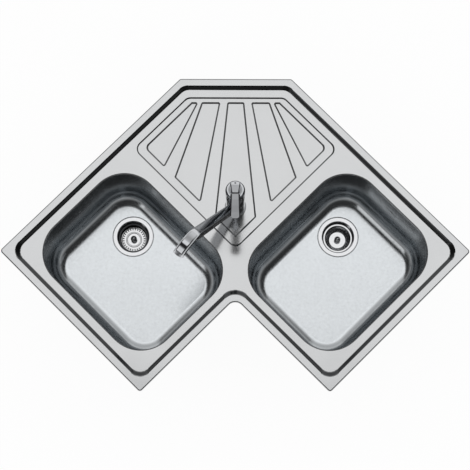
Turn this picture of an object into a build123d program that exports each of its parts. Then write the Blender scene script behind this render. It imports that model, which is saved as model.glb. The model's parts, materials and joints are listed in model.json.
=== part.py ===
"""Corner kitchen sink: two bowls, a fluted drainer between them and a single-lever mixer tap.

Millimetres, +Z up, +X to the right, +Y towards the corner of the room. The origin lies on the
worktop, under the middle of the rim's back edge. Plan places are given as (v, u): v runs out
along the wall on the left and u along the wall on the right, both from the room's corner.
"""

from build123d import *
from math import atan2, cos, degrees, hypot, pi, radians, sin, sqrt, tan
import os

os.makedirs("parts", exist_ok=True)

# ---- overall plan -------------------------------------------------------------------------
BACK_CUT = 200.0           # length cut off each wall side by the slanting back edge
CORNER_R = 8.0
NOTCH_R = 22.0             # the inner corner at the front

# ---- sheet, rim and deck ------------------------------------------------------------------
SHEET = 1.0
RIM_TOP = 6.0              # the rim above the worktop
RIM_WIDTH = 19.2           # flat border before the step down
RIM_EDGE_R = 3.0
SKIRT_BOTTOM = 0.4         # the folded edge stops just above the worktop
DECK_TOP = 1.0             # the sheet around the bowls
STEP_RUN = 7.8             # width of the slope from the rim to the deck
STEP_BEND_R = 6.0
STEP_CORNER_R = 30.0
STEP_NOTCH_R = 40.0
LIP_DEPTH = 7.0            # turned-down edge round each bowl opening
LIP_R = 3.0
BEND_R = 2.8               # pressed bends of the drainer and the flutes
UNDER_INSET = 10.0

# ---- rim gasket ---------------------------------------------------------------------------
GASKET_INSET = 4.0
GASKET_WIDTH = 11.0

# ---- drainer ------------------------------------------------------------------------------
DRAINER_INSET = 47.0       # from the two walls
DRAINER_GAP = 35.5         # between the drainer's front sides and the bowls' openings
DRAINER_BACK = 189.6       # straight out from the room's corner
DRAINER_CORNER_R = 21.0
DRAINER_DEPTH = 1.5
DRAINER_RUN = 2.2
FLUTE_BACK = 202.0         # straight out from the room's corner
FLUTE_FRONT_GAP = 22.0     # between the flutes' front line and the drainer's front sides
FLUTE_WALL = 64.0          # the outer flutes' sides, from the wall
FLUTE_DEPTH = 2.0
FLUTE_RUN = 2.6
FLUTE_R = 4.5
FLUTE_FAR_R = 14.0
MID_HALF_WIDTH = 21.0      # at the flutes' back line; the slopes are sideways per length
MID_SLOPE = 0.1017
SIDE_FLUTE_IN = 39.5
SIDE_FLUTE_IN_SLOPE = 0.187
SIDE_FLUTE_OUT = 86.0
SIDE_FLUTE_OUT_SLOPE = 0.344
END_FLUTE_IN = 95.2
END_FLUTE_IN_SLOPE = 0.500

# ---- bowls --------------------------------------------------------------------------------
BOWL_WIDTH = 400.0         # across the leg
BOWL_LENGTH = 334.5        # along the leg
BOWL_WALL_GAP = 52.0       # from the wall side to the opening
BOWL_FRONT_GAP = 48.0      # from the opening to the leg's front
BOWL_END_GAP = 49.0        # from the opening to the leg's free end
BOWL_LAP = 5.5             # how far each opening reaches past the other one's square corner
BOWL_R = 90.0
BOWL_DEPTH = 180.0         # from the deck to the floor
BOWL_DRAFT = 3.0           # degrees
BOWL_FLOOR_R = 38.0
DRAIN_ACROSS = 123.0       # drain centre, from the opening's wall side
DRAIN_ALONG = 104.0        # drain centre, from the opening's start
OVERFLOW_HOLES = 5
OVERFLOW_HOLE_R = 2.75
OVERFLOW_PITCH = 8.1
OVERFLOW_BELOW = 65.0      # below the deck
PAD_THICKNESS = 3.0
PAD_MARGIN = 12.0          # inside the flat part of the floor
PAD_CORNER_R = 6.0

# ---- waste --------------------------------------------------------------------------------
FLANGE_LAND = 8.0          # width of the flange outside the hole in the bowl
FLANGE_THICKNESS = 1.2
FLANGE_RECESS = 2.4        # the pressed seat in the bowl's floor
RECESS_GAP = 0.8
RECESS_RUN = 1.2           # width of the seat's slanting side
FLANGE_SEAL = 1.2
CUP_R = 41.5               # inside the cup's mouth
CUP_WALL = 1.0
CUP_DEPTH = 46.0
CUP_STEP_DEPTH = 17.0      # from the mouth down to the ledge
CUP_LEDGE_R = 37.8         # outside of the ledge
CUP_STEP_R = 34.8          # inside of the ledge
CUP_FLOOR_R = 33.2
CUP_PORTS = 6
CUP_PORT_R = 5.0
CUP_PORT_CIRCLE = 14.5
CENTRE_SCREW_R = 3.0
CENTRE_SCREW_HEAD_R = 6.0
CENTRE_SCREW_HEAD = 1.6
CENTRE_SCREW_LENGTH = 14.0
CUP_HOLE_GAP = 1.0         # between the cup and the hole in the bowl
LOWER_SEAL = 2.5
SEAL_LAND = 7.5            # width of the lower seal and of the body's rim
BODY_WALL = 3.0
BODY_GAP = 2.0             # between the cup and the waste body
TAIL_R = 23.9
TAIL_WALL = 3.0
TAIL_LENGTH = 38.0
BODY_FLANGE = 4.0
BODY_CLEARANCE = 3.0       # the body's chamber below the cup
FUNNEL = 15.0
BOSS_R = 6.5
BODY_RIBS = 3
BODY_RIB = 3.0
HOSE_BORE_R = 9.0          # overflow hose and the two spigots it is pushed on
HOSE_WALL = 2.0
HOSE_BEND_R = 32.0
SPIGOT_WALL = 2.0
SPIGOT_LENGTH = 18.0
INLET_BELOW = 26.0         # the side inlet's axis below the floor
BOX_LENGTH = 52.0
BOX_HEIGHT = 26.0
BOX_DEPTH = 21.0
BOX_WALL = 2.0
BOX_CORNER_R = 4.0
BOX_SEAL = 2.0
BOX_SCREW_R = 2.0
BOX_SCREW_HEAD_R = 3.8
BOX_SCREW_HEAD = 1.6
BOX_BOSS_R = 4.5
FIT = 0.05                 # radial clearance of pins, screws and spigots

# ---- baskets ------------------------------------------------------------------------------
BASKET_SHEET = 0.9
PAN_R = 32.0
PAN_DEPTH = 39.0           # the left basket's pan below the flange
PAN_RIM = 5.0
PAN_SLOTS = 28
PAN_SLOT_LENGTH = 5.4
PAN_SLOT_WIDTH = 2.7
PAN_SLOT_CIRCLE = 27.4
PAN_BEAD_R = 18.5          # the raised ring pressed into the pan's floor
PAN_BEAD_WIDTH = 4.4
PAN_BEAD_RISE = 1.4
SIEVE_TOP_R = 33.6
SIEVE_RIM_GAP = 0.8        # between the right basket's rim and the cup's ledge side
SIEVE_FLOOR_R = 21.0
SIEVE_FLOOR_DEPTH = 41.0
SIEVE_HOLES = 24
SIEVE_HOLE_R = 1.6
SIEVE_ROWS = 2
KNOB_R = 8.0
KNOB_RISE = 19.0           # top of the knob above the basket's floor
KNOB_NECK_R = 3.2
KNOB_FOOT_R = 6.0
KNOB_FOOT = 1.6
RIVET_R = 4.5
RIVET = 0.8
BASKET_SEAL_R = 22.0
BASKET_SEAL_HOLE_R = 7.5
SEAT_GAP = 0.1             # between a basket and what it rests on

# ---- tap ----------------------------------------------------------------------------------
TAP_BEHIND_TIP = 77.63     # from the tap's axis to the middle flute's front corner
TAP_HOLE_R = 17.5
TAP_R = 24.0               # column, spout collar and dome
BASE_RING_R = 26.5
BASE_RING_HEIGHT = 9.0
BASE_SEAL = 1.5
BASE_SEAL_R = 25.0
SHANK_GAP = 0.5            # between the shank and the washers round it
CORE_R = 18.0
FACE_GAP = 0.1
SLIP_RING = 1.0
COLLAR_TOP = 76.0
SLEEVE_TOP = 164.0
SHELL_WALL = 2.5           # sleeve and dome
SHELL_FIT = 0.1
DOME_CENTRE = 180.0
DOME_GAP = 0.4
EDGE_R = 0.6               # rounded edges of the chromed rings
RING_R = 2.0
O_RING_R = 0.8
O_RING_INSET = 5.0         # from the ends of the spout's collar
SHANK_R = 16.0
SHANK_LENGTH = 46.0
INLET_BORE_R = 4.0
INLET_THREAD_R = 4.5
INLET_THREAD_DEPTH = 12.0
INLET_SPACING = 17.0
SUPPORT_PLATE_R = 38.0
SUPPORT_PLATE = 9.0
CLAMP_SEAL_R = 25.0
CLAMP_SEAL = 3.0
CLAMP_WASHER = 2.0
NUT_ACROSS = 46.0
NUT_HEIGHT = 10.0

# ---- spout --------------------------------------------------------------------------------
SPOUT_TURN = 52.0          # degrees round from straight left towards the front, at rest
SPOUT_SLOPE = 56.7         # degrees up from level
SPOUT_AXIS_START = 8.2     # where the spout's line meets the column's, above the tap's seat
SPOUT_RUN = 155.5          # level length of the straight arm
SPOUT_BEND_R = 39.2
SPOUT_END_SLOPE = 28.8     # degrees down from level
SPOUT_R_LOW = 11.1         # half the width of the square arm, at its foot and at its bend
SPOUT_R_HIGH = 12.9
SPOUT_CORNER_R = 5.5
SPOUT_BORE_R = 8.5
SPOUT_TIP = 3.0
AERATOR_R = 13.8
AERATOR_LENGTH = 8.0
AERATOR_WALL = 1.6
AERATOR_SEAL = 1.5
AERATOR_INSERT = 5.5
AERATOR_HOLES = 12
AERATOR_HOLE_R = 0.8
OUTLET_BORE_R = 4.5
OUTLET_HEIGHT = 35.0       # the port in the core that feeds the spout
GALLERY_DEPTH = 3.0        # the groove round the core that the port opens into
GALLERY_HALF = 9.0

# ---- cartridge and lever ------------------------------------------------------------------
CARTRIDGE_R = 17.5
CARTRIDGE_NECK_R = 15.0
CARTRIDGE_BOTTOM = 118.0
CARTRIDGE_SHOULDER = 156.0
CARTRIDGE_CAVITY_R = 12.0
CARTRIDGE_CAVITY = 7.0     # depth of the cavity that takes the carrier's neck
CHAMBER_R = 14.5           # the chamber of the ceramic discs
CHAMBER_FLOOR = 10.0
DISC_THICKNESS = 6.0
PORT_SEAL_R = 6.0
PORT_SEAL = 1.0
CORE_TOP = 160.0
NUT_TOP = 168.0
NUT_LIP_R = 21.0
CARRIER = 2.9
CARRIER_NECK = 6.0
EAR_THICKNESS = 4.0
EAR_HALF = 6.0
EAR_ABOVE_PIN = 4.0
EAR_GAP = 0.3
PIN_R = 1.5
STEM_WIDTH = 8.0
STEM_TIP_R = 2.5
STEM_SHOULDER = 8.0        # from the pin down to the stem's round tip
STEM_FOOT = 17.0           # from the pin down to its end
STEM_RISE = 28.1           # from the pin up to its top
STEM_ROOM = 0.5
LEVER_GAP = 0.3            # between the dome and the lever that slides over it
LEVER_LIFT = 25.0          # degrees
LEVER_BASE = 190.0         # where the lever's flanks would end without the dome
LEVER_EDGE_R = 1.0
LEVER_TIP_R = 6.0
# lever sections: forward of the column, half widths on top and below, base and top heights
LEVER_BACK = (-14.0, 10.2, 13.5, LEVER_BASE, 204.5)
LEVER_REAR = (-8.0, 9.8, 15.5, LEVER_BASE, 209.5)
LEVER_FORE = (11.5, 6.8, 15.0, LEVER_BASE, 211.2)
LEVER_NECK = (14.5, 7.6, 12.0, 201.0, 210.2)
LEVER_RISE = (30.0, 8.0, 11.2, 206.5, 216.0)
LEVER_WAIST = (46.0, 8.4, 11.0, 212.5, 221.2)
LEVER_BOW = (63.0, 9.1, 11.4, 217.5, 225.6)
LEVER_TIP = (79.0, 10.0, 12.0, 221.5, 228.2)
GRUB_R = 2.0
GRUB_GAP = 0.5             # between the grub screw and the plug
GRUB_ABOVE_PIN = 25.5
PLUG_LENGTH = 2.5

# ---- worktop clips ------------------------------------------------------------------------
WORKTOP = 30.0
CLIP_THICKNESS = 3.0
CLIP_WIDTH = 16.0
CLIP_OUT = 6.0             # outer end of the bar, from the rim's edge
CLIP_IN = 41.0             # inner end of the bar, from the rim's edge
CLIP_TOE = 5.0
BRACKET_IN = 33.0          # bracket centre, from the rim's edge
BRACKET_SIZE = 13.0
BRACKET_HEIGHT = 14.0
BRACKET_WALL = 2.0
CLIP_SCREW_R = 2.5
CLIP_SCREW_GAP = 0.3
CLIP_HEAD_R = 4.8
CLIP_HEAD = 3.5
CLIP_FROM_CUT = 100.0      # from the slanting back edge, along the wall side
CLIP_FROM_BOX = 53.75      # from the middle of the overflow box, along the wall side
CLIP_FROM_CORNER = 90.0    # from the leg's free corners and the notch, along its long sides
CLIP_FROM_SIDE = 130.0     # from the leg's two sides, along its free end

# ---- derived ------------------------------------------------------------------------------
LEG_WIDTH = BOWL_WALL_GAP + BOWL_WIDTH + BOWL_FRONT_GAP    # from the wall to the front
BOWL_START = BOWL_WALL_GAP + BOWL_WIDTH - BOWL_LAP         # from the room's corner
WALL_LENGTH = BOWL_START + BOWL_LENGTH + BOWL_END_GAP      # each wall side
DRAINER_FRONT = BOWL_START - DRAINER_GAP                   # from the two walls
FLUTE_FRONT = DRAINER_FRONT - FLUTE_FRONT_GAP
TAP_FROM_CORNER = FLUTE_FRONT * sqrt(2) - TAP_BEHIND_TIP
OVERFLOW_ALONG = BOWL_START + BOWL_LENGTH / 2
CLIPS_WALL = (BACK_CUT + CLIP_FROM_CUT, OVERFLOW_ALONG - CLIP_FROM_BOX,
              WALL_LENGTH - CLIP_FROM_CORNER)              # stations along each wall side
CLIPS_END = (CLIP_FROM_SIDE, LEG_WIDTH - CLIP_FROM_SIDE)   # along each free end
CLIPS_FRONT = (LEG_WIDTH + CLIP_FROM_CORNER, WALL_LENGTH - CLIP_FROM_CORNER)
SEAT_INSET = GASKET_INSET + GASKET_WIDTH / 2
ORIGIN_OUT = BACK_CUT / sqrt(2) + SEAT_INSET      # room's corner to the origin, along Y
DRAINER_TOP = DECK_TOP - DRAINER_DEPTH
FLUTE_TOP = DRAINER_TOP - FLUTE_DEPTH
LIP_BOTTOM = DECK_TOP - LIP_DEPTH
FLOOR_TOP = DECK_TOP - BOWL_DEPTH
FLANGE_TOP = FLOOR_TOP - FLANGE_RECESS + FLANGE_SEAL + FLANGE_THICKNESS
TAP_Y = ORIGIN_OUT - TAP_FROM_CORNER
TAP_SEAT = Pos(0, TAP_Y, FLUTE_TOP)
ROOM = Plane(origin=(0, ORIGIN_OUT, 0), x_dir=(-1, -1, 0), z_dir=(0, 0, 1)).location
HOLE_R = CUP_R + CUP_WALL + CUP_HOLE_GAP                   # the hole in the bowl's floor
FLANGE_R = HOLE_R + FLANGE_LAND
BODY_TOP_R = HOLE_R + SEAL_LAND
DRAIN_U = BOWL_WALL_GAP + DRAIN_ACROSS                     # drain centre, from the wall
DRAIN = ROOM * Pos(BOWL_START + DRAIN_ALONG, DRAIN_U, 0)
BELOW = -60.0              # a level under every feature of the deck

parts = {}


def add(node, shape, colour="silver"):
    """Names one piece and gives it a colour."""
    shape.label = node
    shape.color = Color(colour)
    parts[node] = shape


def both_sides(name, shape, colour="silver"):
    """The left piece as made, and the right piece as its mirror image."""
    add("left_" + name, shape, colour)
    add("right_" + name, mirror(shape, about=Plane.YZ), colour)


def turned(profile):
    """A solid of revolution about Z from (radius, height) points."""
    corners = [(r, 0, z) for r, z in profile]
    return revolve(make_face(Polyline(*corners, close=True)), Axis.Z)


def ring(outer, inner, low, high):
    return turned([(inner, low), (outer, low), (outer, high), (inner, high)])


def disc(radius, low, high):
    return Pos(0, 0, low) * extrude(Circle(radius), high - low)


def rounded(points, radii):
    """A flat face on the XY plane whose corners each have their own radius."""
    face = Polygon(*points, align=None)
    for point, radius in zip(points, radii):
        corner = face.vertices().sort_by_distance(Vector(*point, 0))[0]
        face = fillet(corner, radius)
    return face


def level(face, low, high):
    return extrude(Pos(0, 0, low) * face, high - low, dir=(0, 0, 1))


def sloped(top_face, top, bottom_face, bottom):
    """A closed solid whose side slopes from one outline to the other."""
    return loft([Pos(0, 0, top) * top_face, Pos(0, 0, bottom) * bottom_face], ruled=True)


# ---- outlines in (v, u) -------------------------------------------------------------------
def border(inset, corner_r, notch_r):
    """The sink's outline, moved inwards by inset."""
    near, end, front = inset, WALL_LENGTH - inset, LEG_WIDTH - inset
    cut = BACK_CUT + inset * (sqrt(2) - 1)
    points = [(near, cut), (near, end), (front, end), (front, front), (end, front),
              (end, near), (cut, near)]
    radii = [corner_r, corner_r, corner_r, notch_r, corner_r, corner_r, corner_r]
    return ROOM * rounded(points, radii)


def drainer_outline(inset):
    near, front = DRAINER_INSET + inset, DRAINER_FRONT - inset
    back = (DRAINER_BACK + inset) * sqrt(2) - near
    points = [(near, back), (near, front), (front, front), (front, near), (back, near)]
    return ROOM * rounded(points, [DRAINER_CORNER_R - inset] * len(points))


def ray(side, slope, inset):
    """A flute's side as (x at the back line, x per length), moved sideways by inset."""
    return side + inset * hypot(1, slope), slope


def on_back(line, inset):
    """Where a side meets the flutes' back line, as (x, distance out from the room's corner)."""
    side, slope = line
    return side + slope * inset, FLUTE_BACK + inset


def on_front(line, inset):
    """Where a side meets the flutes' front line, which lies at FLUTE_FRONT from one wall."""
    side, slope = line
    reach = (FLUTE_FRONT - inset) * sqrt(2)
    out = (reach - side + slope * FLUTE_BACK) / (1 + slope)
    return side + slope * (out - FLUTE_BACK), out


def outward(points):
    """Turns (x, distance out) points into points of this drawing."""
    return [(x, ORIGIN_OUT - out) for x, out in points]


def mid_flute(inset):
    line = ray(MID_HALF_WIDTH, MID_SLOPE, -inset)
    back, front = on_back(line, inset), on_front(line, inset)
    tip = (0.0, (FLUTE_FRONT - inset) * sqrt(2))
    points = [(-back[0], back[1]), back, front, tip, (-front[0], front[1])]
    return rounded(outward(points), [FLUTE_R - inset] * len(points))


def side_flute(inset):
    inner = ray(SIDE_FLUTE_IN, SIDE_FLUTE_IN_SLOPE, inset)
    outer = ray(SIDE_FLUTE_OUT, SIDE_FLUTE_OUT_SLOPE, -inset)
    points = [on_back(inner, inset), on_front(inner, inset), on_front(outer, inset),
              on_back(outer, inset)]
    return rounded(outward(points), [FLUTE_R - inset] * len(points))


def end_flute(inset):
    inner = ray(END_FLUTE_IN, END_FLUTE_IN_SLOPE, inset)
    wall = (FLUTE_WALL + inset) * sqrt(2)
    far = ((FLUTE_FRONT - inset) * sqrt(2) - wall) / 2
    points = [on_back(inner, inset), on_front(inner, inset), (far, far + wall),
              (FLUTE_BACK + inset - wall, FLUTE_BACK + inset)]
    radii = [FLUTE_R - inset, FLUTE_R - inset, FLUTE_FAR_R - inset, FLUTE_R - inset]
    return rounded(outward(points), radii)


def bowl_outline(inset):
    centre = Pos(BOWL_START + BOWL_LENGTH / 2, BOWL_WALL_GAP + BOWL_WIDTH / 2)
    shape = RectangleRounded(BOWL_LENGTH - 2 * inset, BOWL_WIDTH - 2 * inset, BOWL_R - inset)
    return ROOM * centre * shape


def mirrored(shape):
    return mirror(shape, about=Plane.YZ)


# ---- deck ---------------------------------------------------------------------------------
def recesses(shift, drop):
    """The pressed-in regions, moved in by shift and down by drop to give the underside."""
    top, deck = RIM_TOP - drop, DECK_TOP - drop
    drainer, flute = DRAINER_TOP - drop, FLUTE_TOP - drop
    above = 1.0
    step_in = border(RIM_WIDTH - shift, STEP_CORNER_R, STEP_NOTCH_R)
    step_out = border(RIM_WIDTH + STEP_RUN - shift, STEP_CORNER_R, STEP_NOTCH_R)
    cut = sloped(step_in, top, step_out, deck) + level(step_in, top, top + above)
    cut += sloped(drainer_outline(-shift), deck, drainer_outline(DRAINER_RUN - shift), drainer)
    for flute_outline in (mid_flute, side_flute, end_flute):
        groove = sloped(flute_outline(-shift), drainer, flute_outline(FLUTE_RUN - shift), flute)
        cut += groove
        if flute_outline is not mid_flute:
            cut += mirrored(groove)
    return cut


def along(body, outline, height):
    """The edges of a body that lie on an outline at one height."""
    path = (Pos(0, 0, height) * outline).face().outer_wire()
    return body.edges().filter_by(lambda e: path.distance_to(e.position_at(0.5)) < 0.01)


def step_creases(body, shift, drop):
    """The two bends of the step, on one face of the sheet."""
    high = border(RIM_WIDTH - shift, STEP_CORNER_R, STEP_NOTCH_R)
    low = border(RIM_WIDTH + STEP_RUN - shift, STEP_CORNER_R, STEP_NOTCH_R)
    return along(body, high, RIM_TOP - drop), along(body, low, DECK_TOP - drop)


def creases(body):
    """The bends of the drainer and the flutes on the sheet's upper face."""
    lines = [(drainer_outline(0), DECK_TOP), (drainer_outline(DRAINER_RUN), DRAINER_TOP)]
    for inset, height in ((0, DRAINER_TOP), (FLUTE_RUN, FLUTE_TOP)):
        sides = [side_flute(inset), end_flute(inset)]
        lines += [(mid_flute(inset), height)]
        lines += [(flute, height) for flute in sides]
        lines += [(mirrored(flute), height) for flute in sides]
    found = ShapeList()
    for outline, height in lines:
        found += along(body, outline, height)
    return found


def deck_panel():
    step_angle = atan2(RIM_TOP - DECK_TOP, STEP_RUN)
    under_shift = SHEET * tan(step_angle / 2)
    inside = border(UNDER_INSET, CORNER_R, NOTCH_R + UNDER_INSET)
    outer = level(border(0, CORNER_R, NOTCH_R), SKIRT_BOTTOM, RIM_TOP)
    outer = fillet(outer.faces().sort_by(Axis.Z)[-1].edges(), RIM_EDGE_R)
    outer += level(inside, LIP_BOTTOM, RIM_TOP)
    outer -= recesses(0, 0)
    outer = fillet(creases(outer), BEND_R)
    high, low = step_creases(outer, 0, 0)
    outer = fillet(high + low, STEP_BEND_R)
    under = level(border(SHEET, CORNER_R - SHEET, NOTCH_R + SHEET), BELOW, RIM_TOP - SHEET)
    under = fillet(under.faces().sort_by(Axis.Z)[-1].edges(), RIM_EDGE_R - SHEET)
    under -= recesses(under_shift, SHEET)
    under = fillet(step_creases(under, under_shift, SHEET)[0], STEP_BEND_R - SHEET)
    under = fillet(step_creases(under, under_shift, SHEET)[1], STEP_BEND_R + SHEET)
    for side in (bowl_outline(0), mirrored(bowl_outline(0))):
        outer -= level(side, BELOW, RIM_TOP)
        outer = fillet(along(outer, side, DECK_TOP), LIP_R)
    for side in (bowl_outline(-SHEET), mirrored(bowl_outline(-SHEET))):
        under -= level(side, BELOW, RIM_TOP)
        under = fillet(along(under, side, DECK_TOP - SHEET), LIP_R - SHEET)
    panel = outer - under
    return panel - TAP_SEAT * disc(TAP_HOLE_R, -FLUTE_DEPTH - SHEET, 2 * SHEET)


# ---- bowls --------------------------------------------------------------------------------
def bowl_block(inset, extra):
    """The bowl's drafted inside, or with extra the outside of its shell."""
    top = Pos(0, 0, LIP_BOTTOM) * bowl_outline(inset)
    block = extrude(top, LIP_BOTTOM - FLOOR_TOP + extra, dir=(0, 0, -1), taper=BOWL_DRAFT)
    return fillet(block.faces().sort_by(Axis.Z)[0].edges(), BOWL_FLOOR_R + extra)


def drain_seat(shift, drop):
    """The pressed seat for the flange, with a slanting side."""
    top, low = FLOOR_TOP - drop, FLOOR_TOP - FLANGE_RECESS - drop
    radius = FLANGE_R + RECESS_GAP + shift
    return DRAIN * turned([(0, low), (radius, low), (radius + RECESS_RUN, top), (0, top)])


def overflow_places():
    span = (OVERFLOW_HOLES - 1) / 2
    return [OVERFLOW * Pos((k - span) * OVERFLOW_PITCH, 0, 0) for k in range(OVERFLOW_HOLES)]


def bowl():
    lean = atan2(FLANGE_RECESS, RECESS_RUN)
    shell = bowl_block(-SHEET, SHEET) + drain_seat(SHEET * tan(lean / 2), SHEET)
    shell -= bowl_block(0, 0)
    shell -= drain_seat(0, 0)
    shell -= DRAIN * disc(HOLE_R, 2 * FLOOR_TOP, FLOOR_TOP)
    for place in overflow_places():
        shell -= place * disc(OVERFLOW_HOLE_R, -3 * SHEET, 3 * SHEET)
    return shell


def flat_floor(margin):
    """Limits (v, v, u, u) of the floor's flat part, moved in by a margin."""
    side = (LIP_BOTTOM - FLOOR_TOP) * tan(radians(BOWL_DRAFT)) + BOWL_FLOOR_R + margin
    return (BOWL_START + side, BOWL_START + BOWL_LENGTH - side,
            BOWL_WALL_GAP + side, BOWL_WALL_GAP + BOWL_WIDTH - side)


def sound_pad():
    v0, v1, u0, u1 = flat_floor(PAD_MARGIN)
    u0 = DRAIN_U + FLANGE_R + RECESS_GAP + RECESS_RUN + PAD_MARGIN
    pad = ROOM * Pos((v0 + v1) / 2, (u0 + u1) / 2) * RectangleRounded(v1 - v0, u1 - u0, PAD_CORNER_R)
    return level(pad, FLOOR_TOP - SHEET - PAD_THICKNESS, FLOOR_TOP - SHEET)


# the overflow's frame: origin on the bowl's outer side, X along the row, Z away from the bowl
OVERFLOW_IN = BOWL_WALL_GAP + (OVERFLOW_BELOW - LIP_DEPTH) * tan(radians(BOWL_DRAFT))
OVERFLOW = ROOM * Location((OVERFLOW_ALONG, OVERFLOW_IN - SHEET,
                            DECK_TOP - OVERFLOW_BELOW), (90 + BOWL_DRAFT, 0, 0))

add("deck_panel", deck_panel())
both_sides("bowl", bowl())
both_sides("sound_pad", sound_pad(), "black")
gasket = border(GASKET_INSET, CORNER_R, NOTCH_R + GASKET_INSET)
gasket -= border(GASKET_INSET + GASKET_WIDTH, CORNER_R, NOTCH_R + GASKET_INSET + GASKET_WIDTH)
add("rim_gasket", level(gasket, 0, RIM_TOP - SHEET), "black")


# ---- clips under the worktop --------------------------------------------------------------
def clip_stations():
    """Places on the rim's edge, with local Y pointing inwards."""
    places = [Location((v, 0, 0)) for v in CLIPS_WALL]
    places += [Location((WALL_LENGTH, u, 0), (0, 0, 90)) for u in CLIPS_END]
    places += [Location((v, LEG_WIDTH, 0), (0, 0, 180)) for v in CLIPS_FRONT]
    return [ROOM * place for place in places]


def bar(width, near, far, low, high):
    """A block across the rim, from near to far inside its edge."""
    block = Rectangle(width, far - near, align=(Align.CENTER, Align.MIN))
    return Pos(0, near, low) * extrude(block, high - low)


def clip_bracket():
    half = BRACKET_SIZE / 2
    top = DECK_TOP - SHEET
    low = top - BRACKET_HEIGHT
    tube = bar(BRACKET_SIZE, BRACKET_IN - half, BRACKET_IN + half, low, top)
    tube -= bar(BRACKET_SIZE, BRACKET_IN - half + BRACKET_WALL, BRACKET_IN + half - BRACKET_WALL,
                low + BRACKET_WALL, top - BRACKET_WALL)
    return tube - Pos(0, BRACKET_IN, 0) * disc(CLIP_SCREW_R + FIT, low, low + BRACKET_WALL)


def clip_bar():
    top = -WORKTOP - CLIP_TOE
    strip = bar(CLIP_WIDTH, CLIP_OUT, CLIP_IN, top - CLIP_THICKNESS, top)
    strip += bar(CLIP_WIDTH, CLIP_OUT, CLIP_OUT + CLIP_THICKNESS, top, -WORKTOP)
    hole = disc(CLIP_SCREW_R + CLIP_SCREW_GAP, top - CLIP_THICKNESS, top)
    return strip - Pos(0, BRACKET_IN, 0) * hole


def clip_screw():
    head_top = -WORKTOP - CLIP_TOE - CLIP_THICKNESS
    tip = DECK_TOP - SHEET - BRACKET_HEIGHT + 3 * BRACKET_WALL
    screw = disc(CLIP_SCREW_R, head_top - CLIP_HEAD / 2, tip)
    screw += disc(CLIP_HEAD_R, head_top - CLIP_HEAD, head_top)
    slot = Pos(0, 0, head_top - CLIP_HEAD) * Box(3 * CLIP_HEAD_R, 1.2, 2.4)
    return Pos(0, BRACKET_IN, 0) * (screw - slot)


def at_clips(piece):
    """Copies of one clip piece at every station on both sides."""
    left = [place * piece for place in clip_stations()]
    return Compound(children=left + [mirrored(copy) for copy in left])


add("clip_brackets", at_clips(clip_bracket()), "gray")
add("clips", at_clips(clip_bar()), "gray")
add("clip_screws", at_clips(clip_screw()), "gray")


# ---- waste --------------------------------------------------------------------------------
SEAT_TOP = FLOOR_TOP - FLANGE_RECESS
SEAT_LOW = SEAT_TOP - SHEET
BODY_TOP = SEAT_LOW - LOWER_SEAL
CUP_FLOOR = FLANGE_TOP - CUP_DEPTH + CUP_WALL          # upper face of the cup's floor
CUP_LOW = FLANGE_TOP - CUP_DEPTH
BODY_R = CUP_R + CUP_WALL + BODY_GAP                   # inside the waste body
FUNNEL_TOP = CUP_LOW - BODY_CLEARANCE
FUNNEL_LOW = FUNNEL_TOP - FUNNEL
TAIL_LOW = FUNNEL_LOW - TAIL_LENGTH
INLET_Z = FLOOR_TOP - INLET_BELOW
SPIGOT_R = HOSE_BORE_R - FIT
SPIGOT_BORE_R = SPIGOT_R - SPIGOT_WALL
BOX_MID = BOX_SEAL + BOX_DEPTH / 2


def waste_cup():
    top, ledge = FLANGE_TOP, FLANGE_TOP - CUP_STEP_DEPTH
    under = top - FLANGE_THICKNESS
    cup = turned([(CENTRE_SCREW_R + FIT, CUP_FLOOR), (CUP_FLOOR_R, CUP_FLOOR),
                  (CUP_STEP_R, ledge), (CUP_LEDGE_R, ledge), (CUP_R, top), (FLANGE_R, top),
                  (FLANGE_R, under), (CUP_R + CUP_WALL, under),
                  (CUP_LEDGE_R + CUP_WALL, ledge - CUP_WALL),
                  (CUP_STEP_R + CUP_WALL, ledge - CUP_WALL),
                  (CUP_FLOOR_R + CUP_WALL, CUP_LOW), (CENTRE_SCREW_R + FIT, CUP_LOW)])
    for place in PolarLocations(CUP_PORT_CIRCLE, CUP_PORTS):
        cup -= place * disc(CUP_PORT_R, CUP_LOW, CUP_FLOOR)
    rims = [e for e in cup.edges().filter_by(GeomType.CIRCLE)
            if abs(e.center().Z - top) < 0.01]
    return DRAIN * fillet(rims, FLANGE_THICKNESS * 0.6)


def point(place, x, y, z):
    return (place * Pos(x, y, z)).position


def hose_points():
    """The overflow hose: down from the box, then level to the waste's side inlet."""
    start = point(OVERFLOW, 0, -BOX_HEIGHT / 2 - 2 * SEAT_GAP, BOX_MID)
    down = point(OVERFLOW, 0, -1, 0) - point(OVERFLOW, 0, 0, 0)
    turn = start + down * ((INLET_Z - start.Z) / down.Z)
    centre = Vector(DRAIN.position.X, DRAIN.position.Y, INLET_Z)
    outward_dir = (turn - centre).normalized()
    end = centre + outward_dir * (BODY_R + BODY_WALL + 2 * SEAT_GAP)
    return start, turn, end, centre, outward_dir


def overflow_hose():
    start, turn, end, centre, outward_dir = hose_points()
    path = FilletPolyline(start, turn, end, radius=HOSE_BEND_R)
    mouth = Plane(origin=start, z_dir=turn - start)
    solid = sweep(mouth * Circle(HOSE_BORE_R + HOSE_WALL), path=path)
    return solid - sweep(mouth * Circle(HOSE_BORE_R), path=path)


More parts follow.
